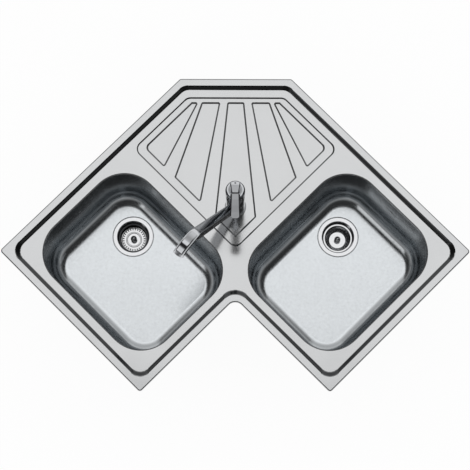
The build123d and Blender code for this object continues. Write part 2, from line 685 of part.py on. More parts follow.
def waste_body():
    top, under = BODY_TOP, BODY_TOP - BODY_FLANGE
    wall = BODY_R + BODY_WALL
    bore = TAIL_R - TAIL_WALL
    outside = [(BODY_TOP_R, top), (BODY_TOP_R, under), (wall, under), (wall, FUNNEL_TOP),
               (TAIL_R, FUNNEL_LOW), (TAIL_R, TAIL_LOW)]
    body = turned([(0, top)] + outside + [(0, TAIL_LOW)])
    inside = turned([(0, top), (BODY_R, top), (BODY_R, FUNNEL_TOP), (bore, FUNNEL_LOW),
                     (bore, TAIL_LOW), (0, TAIL_LOW)])
    ribs = disc(BOSS_R, FUNNEL_LOW, CUP_LOW)
    for k in range(BODY_RIBS):
        rib = Box(BODY_R + BODY_WALL / 2, BODY_RIB, FUNNEL_TOP - FUNNEL_LOW,
                  align=(Align.MIN, Align.CENTER, Align.MIN))
        ribs += Rot(0, 0, 360 * k / BODY_RIBS) * Pos(0, 0, FUNNEL_LOW) * rib
    body = DRAIN * (body - inside + (ribs & body))
    start, turn, end, centre, outward_dir = hose_points()
    inlet = Plane(origin=centre, z_dir=outward_dir)
    root = BODY_R + BODY_WALL / 2
    body += inlet * disc(SPIGOT_R, root, BODY_R + BODY_WALL + SPIGOT_LENGTH)
    body -= inlet * disc(SPIGOT_BORE_R, BODY_R - BODY_WALL, BODY_R + BODY_WALL + SPIGOT_LENGTH)
    hole = disc(CENTRE_SCREW_R + FIT, CUP_LOW - CENTRE_SCREW_LENGTH, CUP_LOW)
    return body - DRAIN * hole


def centre_screw():
    screw = disc(CENTRE_SCREW_R, CUP_LOW - CENTRE_SCREW_LENGTH + 1, CUP_FLOOR)
    screw += disc(CENTRE_SCREW_HEAD_R, CUP_FLOOR, CUP_FLOOR + CENTRE_SCREW_HEAD)
    slot = Box(3 * CENTRE_SCREW_HEAD_R, 1.4, 2.0)
    return DRAIN * (screw - Pos(0, 0, CUP_FLOOR + CENTRE_SCREW_HEAD) * slot)


def overflow_box():
    block = extrude(RectangleRounded(BOX_LENGTH, BOX_HEIGHT, BOX_CORNER_R), BOX_DEPTH)
    room = RectangleRounded(BOX_LENGTH - 2 * BOX_WALL, BOX_HEIGHT - 2 * BOX_WALL,
                            BOX_CORNER_R - BOX_WALL)
    block -= extrude(room, BOX_DEPTH - BOX_WALL)
    block += disc(BOX_BOSS_R, 1.0, BOX_DEPTH - BOX_WALL)
    block -= disc(BOX_SCREW_R + FIT, 0, BOX_DEPTH - BOX_WALL)
    down = Location((0, -BOX_HEIGHT / 2 + BOX_WALL / 2, BOX_DEPTH / 2), (90, 0, 0))
    block += down * disc(SPIGOT_R, 0, BOX_WALL / 2 + SPIGOT_LENGTH)
    block -= down * disc(SPIGOT_BORE_R, -BOX_WALL, BOX_WALL / 2 + SPIGOT_LENGTH)
    return OVERFLOW * Pos(0, 0, BOX_SEAL) * block


def overflow_gasket():
    strip = RectangleRounded(BOX_LENGTH, BOX_HEIGHT, BOX_CORNER_R)
    reach = (OVERFLOW_HOLES - 1) * OVERFLOW_PITCH + 4 * OVERFLOW_HOLE_R
    strip -= SlotOverall(reach, 4 * OVERFLOW_HOLE_R)
    return OVERFLOW * extrude(strip, BOX_SEAL)


def overflow_screw():
    length = BOX_SEAL + BOX_DEPTH - 2 * BOX_WALL
    screw = disc(BOX_SCREW_R, -SHEET, length)
    head = disc(BOX_SCREW_HEAD_R, -SHEET - BOX_SCREW_HEAD, -SHEET)
    head = fillet(head.faces().sort_by(Axis.Z)[0].edges(), BOX_SCREW_HEAD / 2)
    slot = Pos(0, 0, -SHEET - BOX_SCREW_HEAD) * Box(3 * BOX_SCREW_HEAD_R, 1.0, 1.6)
    return OVERFLOW * (screw + head - slot)


both_sides("waste_cup", waste_cup())
both_sides("flange_seal", DRAIN * ring(FLANGE_R - 1, HOLE_R, SEAT_TOP, FLANGE_TOP
                                       - FLANGE_THICKNESS), "black")
both_sides("lower_seal", DRAIN * ring(BODY_TOP_R, HOLE_R, BODY_TOP, SEAT_LOW), "black")
both_sides("waste_body", waste_body(), "gray")
both_sides("centre_screw", centre_screw())
both_sides("overflow_box", overflow_box(), "gray")
both_sides("overflow_gasket", overflow_gasket(), "black")
both_sides("overflow_screw", overflow_screw())
both_sides("overflow_hose", overflow_hose(), "gray")


# ---- baskets ------------------------------------------------------------------------------
PAN_TOP = FLANGE_TOP - PAN_DEPTH
SIEVE_FLOOR = FLANGE_TOP - SIEVE_FLOOR_DEPTH
SIEVE_RIM = FLANGE_TOP - CUP_STEP_DEPTH + SEAT_GAP + BASKET_SHEET
STEM_HOLE_R = KNOB_NECK_R + FIT


def pan_basket():
    under, rim = PAN_TOP - BASKET_SHEET, PAN_TOP + PAN_RIM
    lean = PAN_RIM * 0.3
    half, flat = PAN_BEAD_WIDTH / 2, PAN_BEAD_WIDTH / 6
    inner, outer = PAN_BEAD_R - half, PAN_BEAD_R + half
    crown = PAN_TOP + PAN_BEAD_RISE
    pan = turned([(STEM_HOLE_R, PAN_TOP), (inner, PAN_TOP), (PAN_BEAD_R - flat, crown),
                  (PAN_BEAD_R + flat, crown), (outer, PAN_TOP),
                  (PAN_R - lean - BASKET_SHEET, PAN_TOP), (PAN_R - BASKET_SHEET, rim),
                  (PAN_R, rim), (PAN_R - lean, under), (outer - BASKET_SHEET / 2, under),
                  (PAN_BEAD_R, crown - BASKET_SHEET), (inner + BASKET_SHEET / 2, under),
                  (STEM_HOLE_R, under)])
    slot = SlotOverall(PAN_SLOT_LENGTH, PAN_SLOT_WIDTH)
    for place in PolarLocations(PAN_SLOT_CIRCLE, PAN_SLOTS):
        pan -= place * Pos(0, 0, under) * extrude(slot, BASKET_SHEET)
    return DRAIN * pan


def sieve_basket():
    under, rim_under = SIEVE_FLOOR - BASKET_SHEET, SIEVE_RIM - BASKET_SHEET
    outer = CUP_LEDGE_R - SIEVE_RIM_GAP
    lean = (SIEVE_TOP_R - SIEVE_FLOOR_R) / (SIEVE_RIM - SIEVE_FLOOR)
    side = BASKET_SHEET * (sqrt(1 + lean * lean) - lean)
    sieve = turned([(STEM_HOLE_R, SIEVE_FLOOR), (SIEVE_FLOOR_R, SIEVE_FLOOR),
                    (SIEVE_TOP_R, SIEVE_RIM), (outer, SIEVE_RIM), (outer, rim_under),
                    (SIEVE_TOP_R + side, rim_under), (SIEVE_FLOOR_R + side, under),
                    (STEM_HOLE_R, under)])
    for row in range(SIEVE_ROWS):
        share = (row + 1) / (SIEVE_ROWS + 1)
        height = SIEVE_FLOOR + share * (SIEVE_RIM - SIEVE_FLOOR)
        radius = SIEVE_FLOOR_R + share * (SIEVE_TOP_R - SIEVE_FLOOR_R)
        for k in range(SIEVE_HOLES):
            turn = 360 * (k + row / 2) / SIEVE_HOLES
            hole = disc(SIEVE_HOLE_R, radius - 3 * BASKET_SHEET, radius + 3 * BASKET_SHEET)
            sieve -= Pos(0, 0, height) * Rot(0, 0, turn) * Rot(0, 90, 0) * hole
    return DRAIN * sieve


def basket_knob(top):
    """Knob on its stem, riveted through the basket's floor, whose upper face is at top."""
    under = top - BASKET_SHEET
    knob = turned([(0, under - RIVET), (RIVET_R, under - RIVET), (RIVET_R, under),
                   (KNOB_NECK_R, under), (KNOB_NECK_R, top), (KNOB_FOOT_R, top),
                   (KNOB_FOOT_R, top + KNOB_FOOT / 2), (KNOB_NECK_R, top + KNOB_FOOT),
                   (KNOB_NECK_R, top + KNOB_RISE - KNOB_R), (0, top + KNOB_RISE - KNOB_R)])
    return DRAIN * (knob + Pos(0, 0, top + KNOB_RISE - KNOB_R) * Sphere(KNOB_R))


def basket_seal(top):
    return DRAIN * ring(BASKET_SEAL_R, BASKET_SEAL_HOLE_R, CUP_FLOOR + SEAT_GAP,
                        top - BASKET_SHEET)


add("left_basket", pan_basket())
add("left_basket_knob", basket_knob(PAN_TOP))
add("left_basket_seal", basket_seal(PAN_TOP), "black")
add("right_basket", mirrored(sieve_basket()))
add("right_basket_knob", mirrored(basket_knob(SIEVE_FLOOR)))
add("right_basket_seal", mirrored(basket_seal(SIEVE_FLOOR)), "black")


# ---- tap: heights are above the tap's seat on the drainer ---------------------------------
COLLAR_LOW = BASE_RING_HEIGHT + SLIP_RING + FACE_GAP
SLEEVE_LOW = COLLAR_TOP + FACE_GAP + SLIP_RING
SHELL_R = TAP_R - SHELL_WALL                 # inside the sleeve and the dome
CUP_WALL_R = SHELL_R - SHELL_FIT             # the core's upper part
COLLAR_BORE_R = CORE_R + FIT
DOME_LOW = SLEEVE_TOP + DOME_GAP
CARRIER_LOW = NUT_TOP + FACE_GAP
CARRIER_TOP = CARRIER_LOW + CARRIER
WASHER_R = SHANK_R + SHANK_GAP
PLATE_LOW = -SHEET - SUPPORT_PLATE
CLAMP_LOW = PLATE_LOW - CLAMP_SEAL
NUT_HIGH = CLAMP_LOW - CLAMP_WASHER
O_RINGS = (COLLAR_LOW + O_RING_INSET, COLLAR_TOP - O_RING_INSET)
PORTS = ((-INLET_SPACING / 2, 0.0), (INLET_SPACING / 2, 0.0), (0.0, INLET_SPACING / 2))


def rounded_ring(outer, inner, low, high, radius):
    """A ring with its two outer edges rounded."""
    body = ring(outer, inner, low, high)
    edges = [e for e in body.edges().filter_by(GeomType.CIRCLE) if e.radius > outer - 0.01]
    return fillet(edges, radius)


def tap_core():
    core = disc(SHANK_R, -SHANK_LENGTH, BASE_RING_HEIGHT)
    core += disc(CORE_R, BASE_RING_HEIGHT, SLEEVE_LOW)
    core += disc(CUP_WALL_R, SLEEVE_LOW, CORE_TOP)
    core -= disc(CARTRIDGE_R + FIT, CARTRIDGE_BOTTOM, CORE_TOP)
    for x, y in PORTS[:2]:
        core -= Pos(x, y, 0) * disc(INLET_BORE_R, -SHANK_LENGTH, CARTRIDGE_BOTTOM)
        thread = disc(INLET_THREAD_R, -SHANK_LENGTH, -SHANK_LENGTH + INLET_THREAD_DEPTH)
        core -= Pos(x, y, 0) * thread
    x, y = PORTS[2]
    core -= Pos(x, y, 0) * disc(INLET_BORE_R, OUTLET_HEIGHT - INLET_BORE_R / 2,
                                CARTRIDGE_BOTTOM)
    core -= Location((x, y, OUTLET_HEIGHT), (-90, 0, 0)) * disc(OUTLET_BORE_R, 0, CORE_R)
    core -= ring(CORE_R, CORE_R - GALLERY_DEPTH, OUTLET_HEIGHT - GALLERY_HALF,
                 OUTLET_HEIGHT + GALLERY_HALF)
    for height in O_RINGS:
        core -= ring(CORE_R, CORE_R - 2 * O_RING_R, height - O_RING_R, height + O_RING_R)
    return core


def o_rings():
    rings = [Pos(0, 0, height) * Torus(CORE_R - O_RING_R, O_RING_R) for height in O_RINGS]
    return Compound(children=[TAP_SEAT * item for item in rings])


def shank_nut():
    nut = extrude(RegularPolygon(NUT_ACROSS / 2, 6, major_radius=False), NUT_HEIGHT)
    nut -= extrude(Circle(SHANK_R + FIT), NUT_HEIGHT)
    return Pos(0, 0, NUT_HIGH - NUT_HEIGHT) * nut


add("tap_core", TAP_SEAT * tap_core(), "gold")
add("tap_base_seal", TAP_SEAT * ring(BASE_SEAL_R, WASHER_R, 0, BASE_SEAL), "black")
base_ring = ring(BASE_RING_R, SHANK_R + FIT, BASE_SEAL, BASE_RING_HEIGHT)
base_top = [e for e in base_ring.edges().filter_by(GeomType.CIRCLE)
            if e.radius > BASE_RING_R - 0.01 and e.center().Z > BASE_SEAL + 0.01]
add("tap_base_ring", TAP_SEAT * fillet(base_top, RING_R))
add("tap_support_plate", TAP_SEAT * ring(SUPPORT_PLATE_R, WASHER_R, PLATE_LOW, -SHEET), "gray")
add("tap_under_seal", TAP_SEAT * ring(CLAMP_SEAL_R, WASHER_R, CLAMP_LOW, PLATE_LOW), "black")
add("tap_clamp_washer", TAP_SEAT * ring(CLAMP_SEAL_R, WASHER_R, NUT_HIGH, CLAMP_LOW), "gray")
add("tap_shank_nut", TAP_SEAT * shank_nut(), "gold")
lower_ring = ring(TAP_R - SLIP_RING, COLLAR_BORE_R, BASE_RING_HEIGHT, COLLAR_LOW - FACE_GAP)
upper_ring = ring(TAP_R - SLIP_RING, COLLAR_BORE_R, COLLAR_TOP + FACE_GAP, SLEEVE_LOW)
add("spout_slip_rings", Compound(children=[TAP_SEAT * lower_ring, TAP_SEAT * upper_ring]),
    "white")
add("spout_o_rings", o_rings(), "black")


# ---- spout, drawn in the upright plane of its arm: X outwards, Y up ------------------------
TURN = radians(SPOUT_TURN)
SLOPE = radians(SPOUT_SLOPE)
END = radians(SPOUT_END_SLOPE)
ARM_OUT = Vector(-cos(TURN), -sin(TURN), 0)
ARM = Plane(origin=TAP_SEAT.position, x_dir=ARM_OUT, z_dir=ARM_OUT.cross(Vector(0, 0, 1))).location
ARM_END = (SPOUT_RUN, SPOUT_AXIS_START + SPOUT_RUN * tan(SLOPE))
BEND_MID = (ARM_END[0] + SPOUT_BEND_R * sin(SLOPE), ARM_END[1] - SPOUT_BEND_R * cos(SLOPE))
BEND_END = (BEND_MID[0] + SPOUT_BEND_R * sin(END), BEND_MID[1] + SPOUT_BEND_R * cos(END))


def along_arm(reach, height, slope):
    """A place on the spout's line whose Z runs along the line, slope up from level."""
    return ARM * Location((reach, height, 0)) * Rot(0, 0, degrees(slope)) * Rot(0, 90, 0)


def square(half):
    """The arm's outline: a square with rounded corners."""
    return RectangleRounded(2 * half, 2 * half, SPOUT_CORNER_R)


def bend(outline):
    """A bar of that outline following the spout's bend."""
    start = along_arm(*ARM_END, SLOPE) * outline
    hub = ARM * Location((BEND_MID[0], BEND_MID[1], 0))
    return revolve(start, Axis(hub.position, (hub * Pos(0, 0, -1)).position - hub.position),
                   degrees(SLOPE + END))


def spout():
    arm_length = SPOUT_RUN / cos(SLOPE)
    root = along_arm(0, SPOUT_AXIS_START, SLOPE)
    collar = TAP_SEAT * rounded_ring(TAP_R, COLLAR_BORE_R, COLLAR_LOW, COLLAR_TOP, EDGE_R)
    tip = Pos(0, 0, arm_length) * square(SPOUT_R_HIGH)
    arm = root * loft([square(SPOUT_R_LOW), tip], ruled=True)
    arm -= TAP_SEAT * disc((COLLAR_BORE_R + TAP_R) / 2, -SHANK_LENGTH, COLLAR_TOP + TAP_R)
    body = collar + arm + bend(square(SPOUT_R_HIGH))
    end = along_arm(*BEND_END, -END)
    body += end * extrude(square(SPOUT_R_HIGH), SPOUT_TIP)
    body -= root * disc(SPOUT_BORE_R, CORE_R, arm_length)
    body -= bend(Circle(SPOUT_BORE_R))
    return body - end * disc(SPOUT_BORE_R, 0, SPOUT_TIP)


add("tap_spout", spout())
MOUTH = along_arm(*BEND_END, -END) * Pos(0, 0, SPOUT_TIP)
insert_r = AERATOR_R - AERATOR_WALL - FIT
insert = disc(insert_r, AERATOR_SEAL, AERATOR_SEAL + AERATOR_INSERT)
for share in (1, 2):
    for place in PolarLocations(insert_r * share / 3, AERATOR_HOLES * share // 2):
        insert -= place * disc(AERATOR_HOLE_R, AERATOR_SEAL, AERATOR_SEAL + AERATOR_INSERT)
housing = rounded_ring(AERATOR_R, AERATOR_R - AERATOR_WALL, 0, AERATOR_LENGTH, EDGE_R)
add("aerator_housing", MOUTH * housing)
add("aerator_insert", MOUTH * insert, "white")
add("aerator_seal", MOUTH * ring(insert_r, SPOUT_BORE_R, 0, AERATOR_SEAL), "black")


# ---- cartridge ----------------------------------------------------------------------------
NECK_TOP = NUT_TOP - FACE_GAP
CAVITY_LOW = NECK_TOP - CARTRIDGE_CAVITY
CHAMBER_LOW = CARTRIDGE_BOTTOM + CHAMBER_FLOOR


def cartridge():
    body = disc(CARTRIDGE_R, CARTRIDGE_BOTTOM, CARTRIDGE_SHOULDER)
    body += disc(CARTRIDGE_NECK_R, CARTRIDGE_SHOULDER, NECK_TOP)
    body -= disc(CARTRIDGE_CAVITY_R, CAVITY_LOW, NECK_TOP)
    body -= disc(CHAMBER_R, CHAMBER_LOW, CHAMBER_LOW + 2 * DISC_THICKNESS)
    for x, y in PORTS:
        body -= Pos(x, y, 0) * disc(INLET_BORE_R, CARTRIDGE_BOTTOM, CHAMBER_LOW)
        pocket = disc(PORT_SEAL_R, CARTRIDGE_BOTTOM, CARTRIDGE_BOTTOM + PORT_SEAL)
        body -= Pos(x, y, 0) * pocket
    return body


def port_seals():
    seals = []
    for x, y in PORTS:
        seal = ring(INLET_BORE_R + 1, INLET_BORE_R, CARTRIDGE_BOTTOM,
                    CARTRIDGE_BOTTOM + PORT_SEAL)
        seals.append(TAP_SEAT * Pos(x, y, 0) * seal)
    return Compound(children=seals)


def ceramic_discs():
    middle = CHAMBER_LOW + DISC_THICKNESS
    lower = disc(CHAMBER_R - FIT, CHAMBER_LOW, middle)
    for x, y in PORTS:
        lower -= Pos(x, y, 0) * disc(INLET_BORE_R, CHAMBER_LOW, middle)
    upper = disc(CHAMBER_R - FIT, middle, middle + DISC_THICKNESS)
    return Compound(children=[TAP_SEAT * lower, TAP_SEAT * upper])


def cartridge_nut():
    nut = disc(CARTRIDGE_R, CARTRIDGE_SHOULDER, CORE_TOP)
    nut += disc(NUT_LIP_R, CORE_TOP, NUT_TOP)
    return nut - disc(CARTRIDGE_NECK_R + FIT, CARTRIDGE_SHOULDER, NUT_TOP)


sleeve = rounded_ring(TAP_R, SHELL_R, SLEEVE_LOW, SLEEVE_TOP, EDGE_R)
add("tap_sleeve", TAP_SEAT * sleeve)
add("cartridge", TAP_SEAT * cartridge(), "white")
add("cartridge_discs", ceramic_discs(), "white")
add("cartridge_seals", port_seals(), "black")
add("cartridge_nut", TAP_SEAT * cartridge_nut(), "gold")


# ---- handle: forward is -Y ----------------------------------------------------------------
def block(x0, x1, front, back, low, high):
    """A box from x0 to x1, from front to back measured forward, between two heights."""
    box = Box(x1 - x0, front - back, high - low, align=Align.MIN)
    return Pos(x0, -front, low) * box


def carrier():
    body = disc(SHELL_R - FIT, CARRIER_LOW, CARRIER_TOP)
    body += disc(CARTRIDGE_CAVITY_R - FIT, CARRIER_LOW - CARRIER_NECK, CARRIER_LOW)
    swing = STEM_FOOT * sin(radians(LEVER_LIFT)) + STEM_TIP_R + STEM_ROOM
    back = -STEM_TIP_R - STEM_ROOM
    body -= block(back, -back, swing, back, CARRIER_LOW - CARRIER_NECK, CARRIER_TOP)
    near = STEM_WIDTH / 2 + EAR_GAP
    ear_top = DOME_CENTRE + EAR_ABOVE_PIN
    for x in (near, -near - EAR_THICKNESS):
        body += block(x, x + EAR_THICKNESS, EAR_HALF, -EAR_HALF, CARRIER_TOP, ear_top)
    return body - pivot(PIN_R + FIT)


def pivot(radius):
    """A bar along the lever's hinge line, as long as the ears are wide."""
    half = STEM_WIDTH / 2 + EAR_GAP + EAR_THICKNESS
    return Location((-half, 0, DOME_CENTRE), (0, 90, 0)) * disc(radius, 0, 2 * half)


def dome_cap():
    cap = disc(TAP_R, DOME_LOW, DOME_CENTRE) + Pos(0, 0, DOME_CENTRE) * Sphere(TAP_R)
    cap -= disc(SHELL_R, DOME_LOW - TAP_R, DOME_CENTRE)
    cap -= Pos(0, 0, DOME_CENTRE) * Sphere(SHELL_R)
    cap -= disc(TAP_R + 1, DOME_LOW - TAP_R - 1, DOME_LOW)
    half = STEM_WIDTH / 2 + STEM_ROOM
    swing = TAP_R * sin(radians(LEVER_LIFT)) + half
    return cap - block(-half, half, half, -swing, DOME_CENTRE + SHELL_R / 2, DOME_CENTRE + TAP_R)


def lever_section(front, half_top, half_base, base, top):
    points = [(-half_base, -front, base), (half_base, -front, base), (half_top, -front, top),
              (-half_top, -front, top)]
    return make_face(Polyline(*points, close=True))


def lever_shape():
    stations = [LEVER_BACK, LEVER_REAR, LEVER_FORE, LEVER_NECK, LEVER_RISE, LEVER_WAIST,
                LEVER_BOW, LEVER_TIP]
    body = loft([lever_section(*station) for station in stations], ruled=True)
    tip_face = body.faces().sort_by(Axis.Y)[0]
    sides = [e for e in tip_face.edges() if abs(e.center().X) > LEVER_TIP[1] / 2]
    return fillet(sides, LEVER_TIP_R)


def lever():
    body = lever_shape()
    body -= Pos(0, 0, DOME_CENTRE) * Sphere(TAP_R + LEVER_GAP)
    half = STEM_WIDTH / 2 + FIT
    body -= block(-half, half, half, -half, DOME_CENTRE, DOME_CENTRE + STEM_RISE + FACE_GAP)
    return body - screw_line(GRUB_R + FIT, -LEVER_BACK[0], STEM_WIDTH / 2)


def screw_line(radius, back, front):
    """A bar along the grub screw's line, from back to front behind the column's axis."""
    place = Location((0, front, DOME_CENTRE + GRUB_ABOVE_PIN), (-90, 0, 0))
    return place * disc(radius, 0, back - front)


def lever_stem():
    half = STEM_WIDTH / 2
    stem = block(-half, half, half, -half, DOME_CENTRE - STEM_SHOULDER, DOME_CENTRE + STEM_RISE)
    stem += disc(STEM_TIP_R, DOME_CENTRE - STEM_FOOT, DOME_CENTRE - STEM_SHOULDER)
    return stem - pivot(PIN_R + FIT)


back_end = -LEVER_BACK[0]
add("handle_carrier", TAP_SEAT * carrier(), "white")
add("handle_pin", TAP_SEAT * pivot(PIN_R))
add("handle_dome", TAP_SEAT * dome_cap())
add("lever", TAP_SEAT * lever())
add("lever_stem", TAP_SEAT * lever_stem(), "gray")
add("lever_grub_screw", TAP_SEAT * screw_line(GRUB_R, back_end - PLUG_LENGTH - GRUB_GAP,
                                              STEM_WIDTH / 2), "gray")
add("lever_plug", TAP_SEAT * screw_line(GRUB_R, back_end, back_end - PLUG_LENGTH), "black")

for node, shape in parts.items():
    export_step(shape, "parts/" + node + ".step")
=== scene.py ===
import json

import bpy
from mathutils import Matrix, Vector

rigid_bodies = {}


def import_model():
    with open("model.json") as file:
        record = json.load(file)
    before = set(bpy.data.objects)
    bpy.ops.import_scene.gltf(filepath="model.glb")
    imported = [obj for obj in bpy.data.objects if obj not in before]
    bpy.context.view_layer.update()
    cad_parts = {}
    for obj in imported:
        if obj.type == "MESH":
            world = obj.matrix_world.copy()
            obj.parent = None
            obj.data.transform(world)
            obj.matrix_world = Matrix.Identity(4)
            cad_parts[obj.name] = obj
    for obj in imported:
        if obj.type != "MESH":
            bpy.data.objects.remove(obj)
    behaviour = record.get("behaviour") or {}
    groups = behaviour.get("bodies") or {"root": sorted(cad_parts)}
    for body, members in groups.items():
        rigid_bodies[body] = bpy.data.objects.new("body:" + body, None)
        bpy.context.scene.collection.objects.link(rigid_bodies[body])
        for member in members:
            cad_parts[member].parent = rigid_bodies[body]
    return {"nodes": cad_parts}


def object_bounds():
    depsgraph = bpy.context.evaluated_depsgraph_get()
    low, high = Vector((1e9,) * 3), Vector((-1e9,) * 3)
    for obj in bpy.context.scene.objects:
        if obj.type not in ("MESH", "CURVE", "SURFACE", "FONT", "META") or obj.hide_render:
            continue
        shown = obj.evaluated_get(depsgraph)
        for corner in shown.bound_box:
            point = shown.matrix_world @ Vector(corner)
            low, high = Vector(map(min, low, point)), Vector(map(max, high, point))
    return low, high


MM = 0.001

for leftover in list(bpy.data.objects):
    bpy.data.objects.remove(leftover)

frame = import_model()
bpy.context.view_layer.update()
cad_low, cad_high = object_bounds()


def colour(code):
    """An sRGB hex colour as the linear RGBA that a shader takes."""
    parts = [int(code[i : i + 2], 16) / 255 for i in (1, 3, 5)]
    return [c / 12.92 if c <= 0.04045 else ((c + 0.055) / 1.055) ** 2.4 for c in parts] + [1.0]


def add_node(tree, kind, inputs=None, **settings):
    """Adds a node to the tree with its settings. Each input takes a value, or the output that feeds it."""
    made = tree.nodes.new(kind)
    for name, value in settings.items():
        setattr(made, name, value)
    for socket, value in (inputs or {}).items():
        if isinstance(value, bpy.types.NodeSocket):
            tree.links.new(value, made.inputs[socket])
        else:
            made.inputs[socket].default_value = value
    return made


def set_levels(ramp, levels):
    """Gives a ramp its grey levels. Each pair is a place along the ramp and the level there."""
    stops = ramp.color_ramp.elements
    for stop, (place, level) in zip((stops[0], stops[1]), (levels[0], levels[-1])):
        stop.position, stop.color = place, (level, level, level, 1)
    for place, level in levels[1:-1]:
        stops.new(place).color = (level, level, level, 1)


def new_material(name):
    """An empty material, with the surface's own coordinates in metres."""
    material = bpy.data.materials.new(name)
    material.use_nodes = True
    tree = material.node_tree
    tree.nodes.clear()
    place = add_node(tree, "ShaderNodeTexCoord").outputs["Object"]
    return material, tree, place


def facing_up(tree, *levels):
    """A level that depends on the slope. Each pair is the upright share of the normal and its level.

    The upright share is 1 on a level surface and 0 on an upright wall.
    """
    normal = add_node(tree, "ShaderNodeTexCoord").outputs["Normal"]
    parts = add_node(tree, "ShaderNodeSeparateXYZ", {"Vector": normal})
    upright = add_node(tree, "ShaderNodeMath", {0: parts.outputs["Z"]}, operation="ABSOLUTE")
    ramp = add_node(tree, "ShaderNodeValToRGB", {"Fac": upright.outputs[0]})
    set_levels(ramp, levels)
    return ramp.outputs["Color"]


# ---------------------------------------------------------------- metals


def satin_sheet():
    """Stainless sheet, cold rolled and brushed: a soft grey mirror with a fine grain along the roll."""
    material, tree, place = new_material("stainless sheet, rolled and satin brushed")
    # 240 grit leaves lines about 0.06 mm apart. They are drawn much coarser, so that they show.
    line_length, line_gap = 45 * MM, 0.9 * MM
    along = add_node(
        tree, "ShaderNodeMapping", {"Vector": place, "Scale": (1 / line_length, 1 / line_gap, 1 / line_gap)}
    )
    grain = add_node(
        tree,
        "ShaderNodeTexNoise",
        {"Vector": along.outputs[0], "Scale": 1.0, "Detail": 2.0, "Roughness": 0.5},
    )
    # The polish changes slowly over the sheet, in patches of this size.
    patch = 120 * MM
    cloud = add_node(
        tree, "ShaderNodeTexNoise", {"Vector": place, "Scale": 1 / patch, "Detail": 3.0, "Roughness": 0.55}
    )
    tint = add_node(
        tree,
        "ShaderNodeMix",
        {0: grain.outputs[0], 6: colour("#c9cacb"), 7: colour("#d0d1d2")},
        data_type="RGBA",
    )
    # The photograph shows the pressed bends as dark lines. They are painted darker than the flat sheet for
    # that, as painted shade for the dark that the bends mirror, not because the real finish is known to
    # change there.
    flatness = facing_up(tree, (0.74, 0.75), (0.84, 0.0), (0.95, 0.0), (0.994, 1.0))
    tint = add_node(
        tree, "ShaderNodeMix", {0: flatness, 6: colour("#505152"), 7: tint.outputs[2]}, data_type="RGBA"
    )
    polish = add_node(
        tree,
        "ShaderNodeMapRange",
        {"Value": cloud.outputs[0], "From Min": 0.3, "From Max": 0.7, "To Min": 0.11, "To Max": 0.15},
    )
    lines = add_node(
        tree, "ShaderNodeBump", {"Height": grain.outputs[0], "Strength": 0.05, "Distance": 0.02 * MM}
    )
    shader = add_node(
        tree,
        "ShaderNodeBsdfPrincipled",
        {
            "Base Color": tint.outputs[2],
            "Metallic": 1.0,
            "Roughness": polish.outputs[0],
            "Normal": lines.outputs[0],
        },
    )
    add_node(tree, "ShaderNodeOutputMaterial", {"Surface": shader.outputs[0]})
    return material


def drawn_bowl():
    """Stainless sheet, deep drawn and polished: a brighter mirror with faint streaks down the walls."""
    material, tree, place = new_material("stainless sheet, deep drawn and polished")
    # The punch leaves streaks some 7 mm wide down the whole wall.
    streak_width, streak_length = 7 * MM, 160 * MM
    down = add_node(
        tree,
        "ShaderNodeMapping",
        {"Vector": place, "Scale": (1 / streak_width, 1 / streak_width, 1 / streak_length)},
    )
    streaks = add_node(
        tree,
        "ShaderNodeTexNoise",
        {"Vector": down.outputs[0], "Scale": 1.0, "Detail": 3.0, "Roughness": 0.6},
    )
    # The colour changes slowly over the bowl, in patches of this size.
    patch = 90 * MM
    cloud = add_node(
        tree, "ShaderNodeTexNoise", {"Vector": place, "Scale": 1 / patch, "Detail": 3.0, "Roughness": 0.5}
    )
    tint = add_node(
        tree,
        "ShaderNodeMix",
        {0: cloud.outputs[0], 6: colour("#dadee1"), 7: colour("#e2e6e9")},
        data_type="RGBA",
    )
    # The photograph shows the walls darker than the bottom, and they are painted darker: painted shade for
    # the dark that the walls mirror.
    flatness = facing_up(tree, (0.45, 0.0), (0.97, 1.0))
    tint = add_node(
        tree, "ShaderNodeMix", {0: flatness, 6: colour("#a9adb0"), 7: tint.outputs[2]}, data_type="RGBA"
    )
    polish = add_node(
        tree,
        "ShaderNodeMapRange",
        {"Value": streaks.outputs[0], "From Min": 0.3, "From Max": 0.7, "To Min": 0.16, "To Max": 0.21},
    )
    shader = add_node(
        tree,
        "ShaderNodeBsdfPrincipled",
        {"Base Color": tint.outputs[2], "Metallic": 1.0, "Roughness": polish.outputs[0]},
    )
    add_node(tree, "ShaderNodeOutputMaterial", {"Surface": shader.outputs[0]})
    return material


def turned_steel():
    """Stainless steel, pressed or turned and buffed: bright, with very fine marks from the wheel."""
    material, tree, place = new_material("stainless steel, turned and buffed")
    # Buffing leaves marks far under a millimetre. They are drawn this wide.
    mark = 1.5 * MM
    marks = add_node(tree, "ShaderNodeTexNoise", {"Vector": place, "Scale": 1 / mark, "Detail": 2.0})
    tint = add_node(
        tree,
        "ShaderNodeMix",
        {0: marks.outputs[0], 6: colour("#dcdddf"), 7: colour("#e6e7e8")},
        data_type="RGBA",
    )
    polish = add_node(
        tree,
        "ShaderNodeMapRange",
        {"Value": marks.outputs[0], "From Min": 0.3, "From Max": 0.7, "To Min": 0.1, "To Max": 0.16},
    )
    shader = add_node(
        tree,
        "ShaderNodeBsdfPrincipled",
        {"Base Color": tint.outputs[2], "Metallic": 1.0, "Roughness": polish.outputs[0]},
    )
    add_node(tree, "ShaderNodeOutputMaterial", {"Surface": shader.outputs[0]})
    return material


